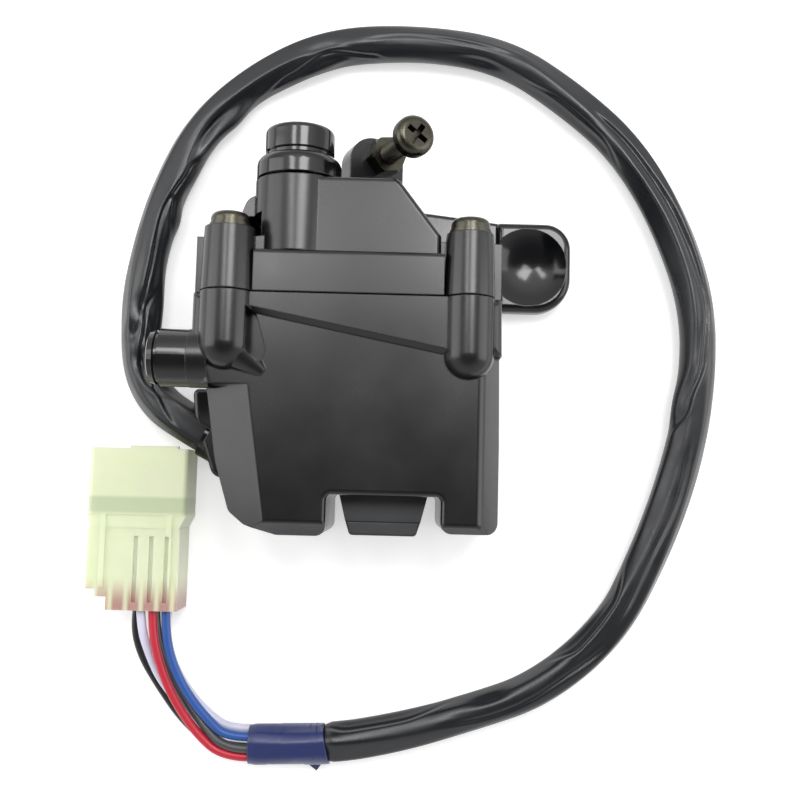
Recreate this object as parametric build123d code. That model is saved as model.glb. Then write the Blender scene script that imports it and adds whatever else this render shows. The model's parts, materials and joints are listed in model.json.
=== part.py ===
"""Right-hand throttle and drive-select switch housing of a quad, with its harness.

Millimetres. The bar runs along X. The two halves of the clamp part at Y = 0, throttle half
above and switch half below. Z points out of the front face, and the part lies on its back.
The origin is the middle of the handlebar clamp.
"""
import math
import os

from build123d import *

# Handlebar clamp
bar_diameter = 22.2
bar_clearance = 0.05
clamp_left = 35.0
clamp_right = 34.6
clamp_roof = 2.0
parting_gap = 0.3
front_face = 20.0
back_depth = 20.0
bench_level = -21.0
outside_rounding = 1.2
rear_corner_start = 13.5
rear_corner_inset = 5.1
far = 200.0

# Clamp screws, M5 pan head
clamp_screw_thread = 5.0
thread_pitch_share = 0.16
clamp_screw_length = 30.0
clamp_screw_head = 8.8
clamp_screw_head_height = 2.6
clamp_washer_diameter = 9.4
clamp_washer_thickness = 0.9
head_room = 0.5
screw_hole_clearance = 0.1
boss_spacing = 54.4
front_boss_depth = 17.0
left_boss_radius = 6.2
right_boss_radius = 5.8
boss_draft = 0.5
front_boss_height = 14.6
left_boss_end = 11.6
right_boss_end = 12.9
rear_boss_depth = 14.8
rear_boss_radius = 5.2
rear_boss_height = 9.0

# Throttle half
block_top = 27.3
block_front = 18.0
block_back = 6.0
block_left = 26.2
block_right = 20.6
shoulder_front = 11.0
shoulder_left = -20.6
shoulder_right = -14.0
corner_web_height = 13.4
corner_web_front = 15.0
band_height = 9.8
swing_bevel_start = 6.0
swing_bevel_depth = 1.0
chamber_wall = 2.0
spring_room = 7.9
cover_thickness = 2.0
cover_screw_inset = 2.85

# Throttle pivot
pivot_x = -12.8
pivot_z = 9.5
pivot_diameter = 8.0
pivot_clearance = 0.04
bush_wall = 1.5
bush_floor = 0.5
drum_radius = 12.0
drum_thickness = 5.0
cable_diameter = 1.6
spring_wire = 1.0
spring_turns = 2.5
hub_radius = 10.0
hub_height = 5.4
hub_rounding = 2.4
hub_washer = 0.5
pivot_nut_height = 3.6
pivot_nut_flats = 11.5
cap_radius = 8.1
cap_height = 6.8
cap_wall = 1.2

# Throttle lever
lever_back = -20.5
lever_thickness = 4.5
web_height = 4.4
paddle_height = 6.2
paddle_left = 35.9
paddle_right = 55.2
paddle_low = 2.9
paddle_high = 26.2
dish_radius = 16.5
dish_floor = 2.8
stop_post_radius = 3.0
stop_gap = 0.3

# Throttle limiter, M5
limiter_point = (7.5, 36.4, 5.0)
limiter_angle = 23.6
limiter_length = 25.0
limiter_reach = 14.4
limiter_thread = 5.0
lock_nut_flats = 8.0
lock_nut_height = 4.0
lug_thickness = 6.0
lug_left = 8.5
lug_right = 5.2
lug_above = 4.6

# Throttle cable inlet, M6
cable_inlet_bore = 5.0
cable_inlet_boss = 8.8
cable_inlet_length = 7.0

# Switch half
switch_depth_back = 17.5
side_edge = 35.2
chamber_top = 14.5
notch_ceiling = 44.7
notch_wall = 2.4
leg_bottom = 54.0
toe_start = 51.0
chamber_front = 15.6
rear_boss_low = 22.0
back_cover_holes = [(-24.6, -26.0), (32.2, -26.0), (-15.0, -46.4), (28.5, -46.4)]
notch_left = -3.6
notch_right = 21.8
brow_height = 1.5
brow_left = 22.4
brow_right = 23.0
brow_left_low = 4.4
brow_right_low = 13.2
edge_rounding = 2.4
side_bevel_width = 4.6
side_bevel_depth = 9.0
gasket_thickness = 0.7
back_cover_thickness = 2.8
cover_left = 26.4
cover_right = 33.7
cover_top = 12.0
cover_shoulder_left = 23.6
cover_shoulder_right = 23.0
cover_neck_left = 20.4
cover_neck_right = 21.2
cover_low = 49.0
cover_toe_start = 42.4
cover_toe = 23.6
cover_notch_left = 5.0
cover_notch_right = 23.2
cover_notch_top = 44.2

# Drive-select button
button_width = 20.0
button_tip_width = 16.8
button_depth = 14.0
button_middle = (9.0, 4.0)
button_reach = 9.0
button_travel = 3.0
button_clearance = 0.25
button_spring_wire = 0.8
button_spring_turns = 5.0
contact_gap = 0.1
contact_seat = -29.4
contact_span = 8.0
contact_pad = 0.8
base_standoff = 1.7
base_thickness = 2.3
base_left = 7.0
base_right = 18.6
base_back = 9.5
base_front = 12.6
base_screw_places = [(-4.5, 10.0), (14.0, -7.0)]

# Empty inlet boot on the left end
boot_y = -14.7
boot_z = 13.5
boot_radius = 6.6
boot_length = 10.6
boot_wall = 1.6
inlet_wall = 1.5
inlet_inner = -31.2

# Harness
sleeve_diameter = 9.0
wire_diameter = 2.2
exit_point = (-35.0, -31.3, -13.6)
exit_angle = 151.0
grommet_flange = 1.2
grommet_flange_radius = 5.7
grommet_radius = 5.3
tape_length = 19.0
tape_thickness = 0.4

# Six-way connector
connector_width = 24.2
connector_thickness = 13.0
connector_hood = 16.4
connector_body = 20.6
connector_neck = 3.2
connector_wall = 1.6
connector_middle = (-51.6, -14.2)
connector_top = -34.6
terminal_width = 2.6
terminal_thickness = 1.2

bore_radius = bar_diameter / 2 + bar_clearance
front_boss_left = (-boss_spacing / 2, front_boss_depth)
front_boss_right = (boss_spacing / 2, front_boss_depth)
rear_boss_left = (-boss_spacing / 2, -rear_boss_depth)
rear_boss_right = (boss_spacing / 2, -rear_boss_depth)
half_gap = parting_gap / 2
screw_radius = clamp_screw_thread / 2
screw_hole = screw_radius + screw_hole_clearance
clamp_screw_seats = [
    (front_boss_left, front_boss_height),
    (front_boss_right, front_boss_height),
    (rear_boss_left, rear_boss_height),
    (rear_boss_right, rear_boss_height),
]
pivot_radius = pivot_diameter / 2
key_flat = pivot_radius - 1.0
bush_radius = pivot_radius + bush_wall
chamber_low = bore_radius + clamp_roof
drum_low = chamber_low + 0.6
spring_low = drum_low + drum_thickness + 0.4
chamber_high = block_top - 2.2
chamber_floor = notch_ceiling - notch_wall
bush_low = math.sqrt(bore_radius ** 2 - (pivot_z - bush_radius) ** 2) + bush_floor
throttle_cover_holes = [(3.6, chamber_low + cover_screw_inset), (3.6, 23.4), (-23.0, 21.9)]
cable_height = drum_low + drum_thickness / 2
cable_depth = pivot_z - drum_radius
hub_low = block_top + hub_washer + 0.2
hub_high = hub_low + hub_height
limiter_frame = Pos(*limiter_point) * Rot(0, limiter_angle, 0)
limiter_tip = limiter_length - limiter_reach
stop_post = (limiter_frame * Pos(0, 0, -limiter_tip - stop_gap - stop_post_radius)).position
main_face = front_face - brow_height
base_low = -chamber_top - base_standoff - base_thickness
pad_face = base_low - contact_pad
exit_frame = Pos(*exit_point) * Rot(0, 0, exit_angle) * Rot(0, 90, 0)

BASE = (Align.CENTER, Align.CENTER, Align.MIN)
TOP = (Align.CENTER, Align.CENTER, Align.MAX)


def along_y(x, z, start, end, radius):
    """A cylinder along Y."""
    rod = Cylinder(radius, end - start, align=(Align.CENTER, Align.CENTER, Align.MIN))
    return Pos(x, start, z) * Rot(-90, 0, 0) * rod


def along_x(y, z, start, end, radius):
    """A cylinder along X."""
    rod = Cylinder(radius, end - start, align=(Align.CENTER, Align.CENTER, Align.MIN))
    return Pos(start, y, z) * Rot(0, 90, 0) * rod


def block(x, y, z):
    """A box from three (low, high) pairs."""
    low, high = zip(x, y, z)
    box = Box(*(b - a for a, b in zip(low, high)), align=(Align.MIN, Align.MIN, Align.MIN))
    return Pos(*low) * box


def outline(points, rounding=0.0):
    """A closed flat outline, its corners rounded by one radius or by a list of radii."""
    if rounding == 0.0:
        return make_face(Polyline(*points, close=True))
    return make_face(FilletPolyline(*points, radius=rounding, close=True))


def prism_z(points, start, end, rounding=0.0):
    """An outline in X and Y, extruded along Z."""
    return extrude(Plane.XY.offset(start) * outline(points, rounding), end - start)


def prism_x(points, start, end, rounding=0.0):
    """An outline in Y and Z, extruded along X."""
    plane = Plane(origin=(start, 0, 0), x_dir=(0, 1, 0), z_dir=(1, 0, 0))
    return extrude(plane * outline(points, rounding), end - start)


def prism_y(points, start, end, rounding=0.0):
    """An outline in X and Z, extruded along Y."""
    plane = Plane(origin=(0, end, 0), x_dir=(1, 0, 0), z_dir=(0, -1, 0))
    return extrude(plane * outline(points, rounding), end - start)


def hexagon_y(x, z, start, end, flats):
    """A hexagon prism along Y, by its width across flats."""
    plane = Plane(origin=(x, end, z), x_dir=(1, 0, 0), z_dir=(0, -1, 0))
    return extrude(plane * RegularPolygon(flats / 2, 6, major_radius=False), end - start)


def pan_head_screw(thread, length, head, head_height, threaded):
    """A cross-recess screw along Z, head above Z = 0, with thread rings below."""
    pitch = thread * thread_pitch_share
    depth = pitch * 0.55
    dome = Cylinder(head / 2, head_height, align=(Align.CENTER, Align.CENTER, Align.MIN))
    dome = fillet(dome.edges().sort_by(Axis.Z)[-1], head_height * 0.55)
    for turn in (0, 90):
        arm = Box(head * 0.56, head * 0.14, head_height, align=(Align.CENTER, Align.CENTER, Align.MIN))
        dome -= Pos(0, 0, head_height * 0.35) * Rot(0, 0, turn + 45) * arm
    radius = thread / 2
    points = [(0, 0), (radius, 0), (radius, threaded - length)]
    count = int(threaded / pitch) - 1
    for ring in range(count):
        top = threaded - length - ring * pitch
        points += [(radius, top), (radius - depth, top - pitch / 2), (radius, top - pitch)]
    points += [(radius - depth, -length), (0, -length)]
    profile = [p for i, p in enumerate(points) if i == 0 or p != points[i - 1]]
    shank = revolve(Plane.XZ * make_face(Polyline(*profile, close=True)), Axis.Z)
    return dome + shank


def clamp_body(side):
    """The shell round the bar: side 1 is the throttle half, side -1 the switch half."""
    roof = bore_radius + clamp_roof
    profile = [
        (side * half_gap, -back_depth),
        (side * half_gap, front_boss_depth - 2),
        (side * roof, front_boss_depth - 2),
        (side * roof, -back_depth * 0.62),
        (side * rear_boss_height * 0.8, -back_depth),
    ]
    body = prism_x(profile, -clamp_left, clamp_right)
    corner = [(clamp_right + 0.4, -rear_corner_start), (clamp_right + 0.4, -back_depth - 1),
              (clamp_right - rear_corner_inset, -back_depth - 1)]
    return body - prism_y(corner, -far, far)


def boss(place, radius, start, end):
    """A screw boss column with a web back to the clamp body."""
    x, z = place
    half = radius - boss_draft
    column = Pos(x, start, z) * Rot(-90, 0, 0) * Cone(radius, half, end - start, align=BASE)
    inward = 0 if z > 0 else -rear_boss_depth / 2
    depths = (inward, z) if z > 0 else (z, inward)
    return column + block((x - half, x + half), (start, end), depths)


def throttle_housing():
    """Throttle half: clamp, cable chamber, screw bosses, limiter lug and cable inlet."""
    body = clamp_body(1)
    band = block((-21.4, 21.4), (half_gap, band_height), (0, front_face))
    body += fillet(band.edges().filter_by(Axis.X).sort_by(Axis.Z)[-1], outside_rounding)
    front = [(-block_left, 0.5), (-block_left, 18.6), (-24.4, 23.4), (-15.0, block_top),
             (10.0, block_top), (11.2, 26.4), (block_right, 14.2), (block_right, 0.5)]
    depth = [(-block_left - 1, -block_back), (swing_bevel_start, -block_back),
             (block_right + 1, swing_bevel_depth), (block_right + 1, block_front),
             (shoulder_right, block_front), (shoulder_left, shoulder_front),
             (-block_left - 1, shoulder_front)]
    shell = prism_z(front, -block_back, block_front, [0.1, 2.0, 3.0, 3.0, 1.0, 1.0, 1.0, 0.1])
    shell = fillet(shell.faces().sort_by(Axis.Z)[-1].edges().filter_by(
        lambda edge: edge.center().Y > 12), outside_rounding)
    shell &= prism_y(depth, 0, block_top + 1)
    body += shell
    body += along_y(pivot_x, pivot_z, band_height, block_top, hub_radius)
    body += prism_z([(-22.4, 8), (-15.6, 8), (-15.6, 13.8), (-22.4, 13.0)], 8, 17.0)
    body += block((block_right - 1, front_boss_right[0] - right_boss_radius + 2),
                  (band_height - 1, corner_web_height), (0, corner_web_front))
    bosses = [
        (front_boss_left, left_boss_radius, front_boss_height),
        (front_boss_right, right_boss_radius, front_boss_height),
        (rear_boss_left, rear_boss_radius, rear_boss_height),
        (rear_boss_right, rear_boss_radius, rear_boss_height),
    ]
    for place, radius, height in bosses:
        body += boss(place, radius, half_gap, height)
    body += along_x(cable_height, cable_depth, -cable_inlet_length - block_left + 1, -block_left + 0.3,
                    cable_inlet_boss / 2)
    body += limiter_lug()
    body -= along_x(0, 0, -clamp_left - 1, clamp_right + 1, bore_radius)
    for place, radius, height in bosses:
        body -= along_y(*place, -1, height + 1, screw_hole)
        body -= along_y(*place, height, height + 8, clamp_washer_diameter / 2 + head_room)
    body -= drum_chamber()
    body -= along_y(pivot_x, pivot_z, bush_low, block_top + 1, bush_radius)
    body -= along_x(cable_height, cable_depth, -clamp_left - 8, pivot_x, cable_inlet_bore / 2)
    for x, y in throttle_cover_holes:
        body -= Pos(x, y, -block_back) * Cylinder(1.25, 14)
    body -= limiter_frame * Cylinder(limiter_thread / 2 + 0.02, 60)
    return body


def drum_chamber():
    """The cable chamber, open at the back."""
    low = block((-block_left + chamber_wall, pivot_x + drum_radius + 1.6), (chamber_low, spring_low),
                (-block_back - 1, block_front - chamber_wall))
    high = along_y(pivot_x, pivot_z, spring_low - 0.1, chamber_high, spring_room)
    high += block((pivot_x - spring_room, pivot_x + spring_room), (spring_low - 0.1, chamber_high),
                  (-block_back - 1, pivot_z))
    return low + high


def limiter_lug():
    """The lug that the limiter screw runs in, square to the screw."""
    corners = [(-lug_left, -12.0), (lug_right, -12.0), (lug_right, lug_above), (-lug_left, lug_above)]
    plate = extrude(outline(corners, [0.2, 0.2, 3.2, 6.0]), lug_thickness)
    lug = limiter_frame * Pos(0, 0, -lock_nut_height / 2 - lug_thickness - 0.05) * plate
    return lug & block((-far, far), (block_top - 3.0, far), (-far, far))


def throttle_cover():
    """The plate that closes the cable chamber from behind."""
    left, low, high = -block_left + 0.4, chamber_low + 0.1, block_top - 0.6
    corners = [(left, low), (swing_bevel_start, low), (swing_bevel_start, high), (-15.2, high),
               (-24.2, 22.9), (left, 18.8)]
    plate = prism_z(corners, -block_back - cover_thickness, -block_back, 0.8)
    for x, y in throttle_cover_holes:
        plate -= Pos(x, y, -block_back) * Cylinder(1.6, 9)
        plate -= Pos(x, y, -block_back - cover_thickness) * Cone(2.9, 1.5, 1.4, align=BASE)
    return plate


def throttle_cover_screws():
    """Three countersunk M3 screws."""
    screws = []
    for x, y in throttle_cover_holes:
        head = Pos(x, y, -block_back - cover_thickness) * Cone(2.8, 1.4, 1.4, align=BASE)
        shank = Pos(x, y, -block_back - cover_thickness) * Cylinder(1.2, 8.4, align=BASE)
        slot = Pos(x, y, -block_back - cover_thickness) * Box(3.2, 0.7, 1.2)
        screws.append(head + shank - slot - slot.rotate(Axis((x, y, 0), (0, 0, 1)), 90))
    return Compound(screws)


def clamp_screws():
    """Four pan-head screws that pull the halves together."""
    screw = pan_head_screw(clamp_screw_thread, clamp_screw_length, clamp_screw_head,
                           clamp_screw_head_height, 12.0)
    screws = []
    for (x, z), height in clamp_screw_seats:
        seat = height + clamp_washer_thickness
        screws.append(Pos(x, seat, z) * Rot(-90, 0, 0) * Rot(0, 0, 20 * len(screws)) * screw)
    return Compound(screws)


def clamp_washers():
    """A washer under each clamp screw head."""
    return Compound([along_y(x, z, height, height + clamp_washer_thickness, clamp_washer_diameter / 2)
                     - along_y(x, z, height - 1, height + 4, screw_radius + 0.15)
                     for (x, z), height in clamp_screw_seats])


def pivot_shaft():
    """The stepped shaft that the lever and the drum are keyed to."""
    shaft = along_y(pivot_x, pivot_z, bush_low + 0.3, hub_high + pivot_nut_height + 0.4,
                    pivot_radius)
    for start, end in ((drum_low - 0.05, drum_low + drum_thickness), (hub_low, hub_high)):
        shaft -= block((pivot_x + key_flat, pivot_x + 9), (start, end), (pivot_z - 9, pivot_z + 9))
    return shaft


def keyed_bore(start, end):
    """The bore that fits the shaft's flat."""
    radius = pivot_radius + pivot_clearance
    bore = along_y(pivot_x, pivot_z, start, end, radius)
    return bore - block((pivot_x + key_flat + pivot_clearance, pivot_x + 9), (start, end),
                        (pivot_z - 9, pivot_z + 9))


def pivot_bushes():
    """Two bronze bushes, pressed into the throttle half."""
    bushes = []
    for start, end in ((bush_low, chamber_low), (chamber_high, block_top)):
        bush = along_y(pivot_x, pivot_z, start, end, bush_radius - 0.01)
        bushes.append(bush - along_y(pivot_x, pivot_z, start - 1, end + 1, pivot_radius + pivot_clearance))
    return Compound(bushes)


def cable_drum():
    """The grooved sector that winds the throttle cable, with its nipple pocket."""
    axis = Axis((pivot_x, 0, pivot_z), (0, -1, 0))
    disc = along_y(pivot_x, pivot_z, drum_low, drum_low + drum_thickness, drum_radius + 1.0)
    groove = along_y(pivot_x, pivot_z, cable_height - cable_diameter * 0.6,
                     cable_height + cable_diameter * 0.6, drum_radius + 3)
    groove -= along_y(pivot_x, pivot_z, cable_height - 4, cable_height + 4, drum_radius - cable_diameter / 2)
    reach = drum_radius * 2
    sector = prism_y([(0, 0), (-reach * 0.45, -reach), (reach, -reach * 1.4), (reach * 1.7, -reach * 0.9)],
                     drum_low - 1, drum_low + drum_thickness + 1)
    body = (disc - groove) & (Pos(pivot_x, 0, pivot_z) * sector)
    body += along_y(pivot_x, pivot_z, drum_low, drum_low + drum_thickness, 6.0)
    nipple = along_y(pivot_x, pivot_z - drum_radius + 2.4, drum_low - 1, drum_low + drum_thickness - 1.4, 1.9)
    body -= nipple.rotate(axis, 46)
    return body - keyed_bore(drum_low - 1, drum_low + drum_thickness + 1)


def return_spring():
    """The torsion spring round the shaft, above the drum."""
    pitch = (chamber_high - spring_low - spring_wire - 0.8) / spring_turns
    coil_radius = 6.4
    height = pitch * spring_turns
    path = Helix(pitch, height, coil_radius)
    wire = sweep(Plane(origin=path @ 0, z_dir=path % 0) * Circle(spring_wire / 2), path, is_frenet=True)
    print("return spring: least gap between turns", round(pitch - spring_wire, 2))
    return Pos(pivot_x, spring_low + spring_wire / 2 + 0.3, pivot_z) * Rot(-90, 0, 0) * wire


def pivot_washer():
    """The thrust washer between the lever's hub and the throttle half."""
    washer = along_y(pivot_x, pivot_z, block_top + 0.05, block_top + 0.05 + hub_washer, 8.6)
    return washer - along_y(pivot_x, pivot_z, block_top - 1, hub_low, pivot_radius + 0.1)


def pivot_nut():
    """The nut that holds the lever on its shaft, under the cap."""
    nut = hexagon_y(pivot_x, pivot_z, hub_high + 0.02, hub_high + pivot_nut_height, pivot_nut_flats)
    return nut - along_y(pivot_x, pivot_z, hub_high - 1, hub_high + 6, pivot_radius + 0.02)


def pivot_cap():
    """The soft cap over the nut: a domed cup with a waisted lower edge."""
    low = hub_high
    top = low + cap_height
    waist = cap_radius - 0.4
    profile = [(0, low), (waist, low), (waist, low + 0.8), (cap_radius, low + 1.2), (cap_radius, top),
               (0, top)]
    cup = revolve(Plane.XY * make_face(Polyline(*profile, close=True)), Axis.Y)
    cup = fillet(cup.edges().sort_by(Axis.Y)[-1], 1.3)
    cup = Pos(pivot_x, 0, pivot_z) * cup
    return cup - along_y(pivot_x, pivot_z, low - 1, top - cap_wall, cap_radius - cap_wall)


def throttle_lever():
    """The cast lever: hub, web over the block, arm behind it and dished thumb paddle."""
    hub = along_y(pivot_x, pivot_z, hub_low, hub_high, hub_radius - 0.1)
    hub = fillet(hub.edges().sort_by(Axis.Y)[-1], hub_rounding)
    web = prism_y([(-21.6, 8.0), (-21.6, -12.0), (-20.0, lever_back), (1.0, lever_back), (5.0, -11.0),
                   (5.0, -6.0), (1.0, -4.6), (-4.0, -5.0), (-6.4, 3.0)], hub_low, hub_low + web_height,
                  [0.5, 3.0, 1.5, 1.5, 2.0, 2.0, 1.5, 2.0, 0.5])
    front = lever_back + lever_thickness
    arm = prism_z([(-20.0, 22.4), (-8.0, 21.6), (30.0, 16.6), (37.5, 16.6), (37.5, 26.2), (28.3, 27.4),
                   (14.0, 29.0), (4.0, 29.6), (1.0, hub_low + web_height), (-20.0, hub_low + web_height)],
                  lever_back, front, [2.0, 4.0, 1.0, 0.3, 0.3, 4.0, 4.0, 2.0, 1.2, 1.5])
    arm = fillet(arm.faces().sort_by(Axis.Z)[-1].edges(), 1.1)
    corners = [(paddle_left, paddle_low), (paddle_right, paddle_low), (paddle_right, paddle_high),
               (paddle_left, paddle_high)]
    paddle = prism_z(corners, lever_back, lever_back + paddle_height, [1.2, 9.0, 6.6, 1.2])
    paddle = fillet(paddle.faces().sort_by(Axis.Z)[-1].edges(), 1.9)
    paddle = fillet(paddle.faces().sort_by(Axis.Z)[0].edges(), 2.2)
    middle = ((paddle_left + paddle_right) / 2 - 1.4, (paddle_low + paddle_high) / 2)
    dish = Pos(*middle, lever_back + dish_floor + dish_radius) * Sphere(dish_radius)
    post = along_y(stop_post.X, stop_post.Z, hub_low, stop_post.Y + 2.6, stop_post_radius)
    post = fillet(post.edges().sort_by(Axis.Y)[-1], 0.6)
    lever = hub + web + arm + (paddle - dish) + post
    return lever - keyed_bore(hub_low - 1, hub_high + 1)


def limiter_screw():
    """The adjusting screw that stops the lever, nearly backed out as photographed."""
    screw = pan_head_screw(limiter_thread, limiter_length, 9.4, 3.3, limiter_length - 1.0)
    return limiter_frame * Pos(0, 0, limiter_reach) * Rot(0, 0, 12) * screw


def limiter_lock_nut():
    """The hexagon nut that locks the limiter screw against its lug."""
    nut = extrude(RegularPolygon(lock_nut_flats / 2, 6, major_radius=False), lock_nut_height)
    rim = Cone(5.4, 3.6, lock_nut_height + 1.4, align=BASE)
    nut &= Pos(0, 0, -0.2) * rim + Cylinder(4.35, lock_nut_height, align=BASE)
    nut -= Cylinder(limiter_thread / 2 + 0.03, 20)
    return limiter_frame * Pos(0, 0, -lock_nut_height / 2) * Rot(0, 0, 10) * nut


def switch_shell():
    """The outer walls of the switch half: slanted left face, bevelled toe and finger notch."""
    edge = [(-clamp_left, -half_gap), (-clamp_left, -12.6), (-33.2, -17.6), (-32.0, -22.0),
            (-29.6, -37.6), (-25.9, -49.0), (-22.0, -51.8), (-14.8, -leg_bottom),
            (notch_left, -leg_bottom), (notch_left, -notch_ceiling), (notch_right, -notch_ceiling),
            (notch_right, -leg_bottom + 1.2), (side_edge, -leg_bottom + 1.2), (side_edge, -33.0),
            (clamp_right, -half_gap)]
    radii = [0.1, 3.0, 3.0, 6.0, 20.0, 3.0, 2.0, 3.0, 2.6, 1.2, 1.2, 2.6, 2.6, 20.0, 0.1]
    walls = prism_z(edge, -switch_depth_back, main_face, radii)
    crease_top = Vector(-22.0, -20.0, main_face)
    crease_low = Vector(-17.4, -50.5, main_face)
    outer = Vector(-33.0, -26.0, main_face - 8.4)
    along = crease_low - crease_top
    normal = along.cross(outer - crease_top)
    normal = normal if normal.Z > 0 else normal * -1
    slant = Plane(origin=crease_top, x_dir=along, z_dir=normal)
    wedge = extrude(slant * Rectangle(far, far), far)
    walls -= wedge & block((-far, 0), (-far, -20.6), (-far, far))
    toe = prism_x([(1, -far), (1, main_face + 30), (-toe_start, main_face + 30), (-toe_start, main_face),
                   (-leg_bottom - 0.6, main_face - 5.4), (-leg_bottom - 0.6, -far)], -far, far)
    shell = walls & toe
    bevel = [(side_edge - side_bevel_width, main_face), (side_edge + 1, main_face),
             (side_edge + 1, main_face - side_bevel_depth), (side_edge, main_face - side_bevel_depth)]
    shell -= prism_y(bevel, -far, -right_boss_end)
    shell = fillet(front_edges(shell, 30, far), edge_rounding)
    return fillet(front_edges(shell, -20, 30), outside_rounding)


def front_edges(shell, left, right):
    """The edges round the switch half's main face, below the parting line, between two places in X."""
    return [edge for edge in shell.edges()
            if edge.bounding_box().size.Z < 0.05 and abs(edge.center().Z - main_face) < 0.02
            and edge.center().Y < -1 and left < edge.center().X < right]


def switch_housing():
    """Switch half: clamp, bosses, brow, switch chamber, notch, inlet seat and harness exit."""
    body = clamp_body(-1) + switch_shell()
    brow = prism_z([(-brow_left, -half_gap), (brow_right, -half_gap), (brow_right, -brow_right_low),
                    (-brow_left, -brow_left_low)], main_face - 2, main_face + brow_height)
    lower_edge = brow.faces().sort_by(Axis.Z)[-1].edges().sort_by(Axis.Y)[0]
    body += chamfer(lower_edge, brow_height * 0.8)
    body += along_y(*front_boss_left, -left_boss_end, -half_gap, left_boss_radius)
    body += along_y(*front_boss_right, -right_boss_end, -half_gap, right_boss_radius)
    body += Pos(front_boss_right[0], -right_boss_end, front_boss_depth) * Sphere(right_boss_radius)
    body += left_gusset()
    hollow = [(-23.4, -2.6), (-20.4, -5.0), (-18.0, -13.2), (-19.2, -16.4), (-23.4, -12.6)]
    body -= prism_z(hollow, main_face - 3.2, front_face + 1, [0.6, 1.0, 1.4, 0.9, 1.6])
    for place in (rear_boss_left, rear_boss_right):
        body += along_y(*place, -rear_boss_low, -half_gap, rear_boss_radius)
        body += block((place[0] - rear_boss_radius, place[0] + rear_boss_radius),
                      (-rear_boss_low, -half_gap), (place[1], 0))
    body += along_x(boot_y, boot_z, -clamp_left - 0.6, -clamp_left + 4, boot_radius + 0.1)
    exit_block = prism_z([(-39.0, -19.6), (-38.2, -27.0), (-33.2, -41.4), (-27.0, -41.4), (-27.0, -19.6)],
                         -back_depth - 0.3, exit_point[2] + 7.0, [1.5, 2.0, 3.0, 0.2, 0.2])
    body += fillet(exit_block.faces().sort_by(Axis.Z)[-1].edges().filter_by(
        lambda edge: edge.center().X < -30), outside_rounding)
    body -= exit_frame * Cylinder(grommet_flange_radius + 1.5, 12, align=BASE)
    body += exit_frame * Cylinder(grommet_flange_radius, 7.5, align=TOP)
    body -= along_x(0, 0, -clamp_left - 1, clamp_right + 1, bore_radius)
    body -= switch_chamber()
    for place in (front_boss_left, front_boss_right):
        body -= along_y(*place, front_boss_height - clamp_screw_length, 1, screw_radius + 0.02)
    for place in (rear_boss_left, rear_boss_right):
        body -= along_y(*place, rear_boss_height - clamp_screw_length, 1, screw_radius + 0.02)
    body -= along_x(boot_y, boot_z, -clamp_left - 2, inlet_inner, boot_radius - boot_wall - 0.02)
    body -= button_hole(button_clearance)
    body -= exit_frame * Cylinder(grommet_radius + 0.05, 40)
    for x, y in back_cover_holes:
        body -= Pos(x, y, -switch_depth_back) * Cylinder(1.25, 18)
    for x, z in base_screw_places:
        body += along_y(x, z, -chamber_top - base_standoff, -chamber_top + 0.5, 2.4)
        body -= along_y(x, z, -chamber_top - base_standoff - 1, -chamber_top + 0.9, 1.05)
    return body


def left_gusset():
    """The ridge that runs from the end of the left boss down to the corner of the main face."""
    start = Vector(front_boss_left[0], -left_boss_end, front_boss_depth)
    tip = Vector(-18.4, -18.0, main_face - 1.2)
    plane_start = Plane(origin=start, z_dir=tip - start)
    plane_tip = Plane(origin=tip, z_dir=tip - start)
    ridge = loft([plane_start * Circle(left_boss_radius - 0.4), plane_tip * Circle(1.6)])
    return ridge + Pos(*start) * Sphere(left_boss_radius)


def switch_chamber():
    """The hollow for the switch, open at the back."""
    upper = block((-17.6, 19.2), (-25.0, -chamber_top), (-30, chamber_front))
    lower = block((-15.5, 30.6), (-chamber_floor, -24.0), (-30, chamber_front))
    left = block((-24.4, -15.0), (-chamber_floor + 1.0, -24.6), (-30, 7.0))
    return upper + lower + left


def button_hole(clearance):
    """The window that the button slides in."""
    x, z = button_middle
    half = button_width / 2 + clearance
    deep = button_depth / 2 + clearance
    return block((x - half, x + half), (-notch_ceiling - 1, -chamber_floor + 1), (z - deep, z + deep))


def back_cover_outline(inset):
    """The outline of the back cover and its gasket."""
    left, right = -cover_left + inset, cover_right - inset
    neck_left, neck_right = -cover_neck_left + inset, cover_neck_right - inset
    top, low, notch_top = -cover_top - inset, -cover_low + inset, -cover_notch_top + inset
    notch_from, notch_to = -cover_notch_left - inset, cover_notch_right + inset
    return [(neck_left, top), (neck_right, top), (neck_right, -cover_shoulder_right - inset),
            (right, -cover_shoulder_right - inset), (right, low), (notch_to, low), (notch_to, notch_top),
            (notch_from, notch_top), (notch_from, low), (-cover_toe + inset, low),
            (left, -cover_toe_start), (left, -cover_shoulder_left - inset),
            (neck_left, -cover_shoulder_left - inset)]


def cover_gasket():
    """The flat gasket between the switch half and its back cover."""
    low = -switch_depth_back - gasket_thickness
    sheet = prism_z(back_cover_outline(0.3), low, -switch_depth_back)
    sheet -= switch_chamber()
    for x, y in back_cover_holes:
        sheet -= Pos(x, y, low) * Cylinder(1.7, 4)
    return sheet


def switch_back_cover():
    """The flat back cover that the part lies on."""
    high = -switch_depth_back - gasket_thickness
    plate = prism_z(back_cover_outline(0.0), bench_level, high)
    plate = fillet(plate.faces().sort_by(Axis.Z)[0].edges(), 0.6)
    for x, y in back_cover_holes:
        plate -= Pos(x, y, bench_level) * Cylinder(1.6, 9)
        plate -= Pos(x, y, bench_level - 0.01) * Cone(3.0, 1.5, 1.6, align=BASE)
    return plate


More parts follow.
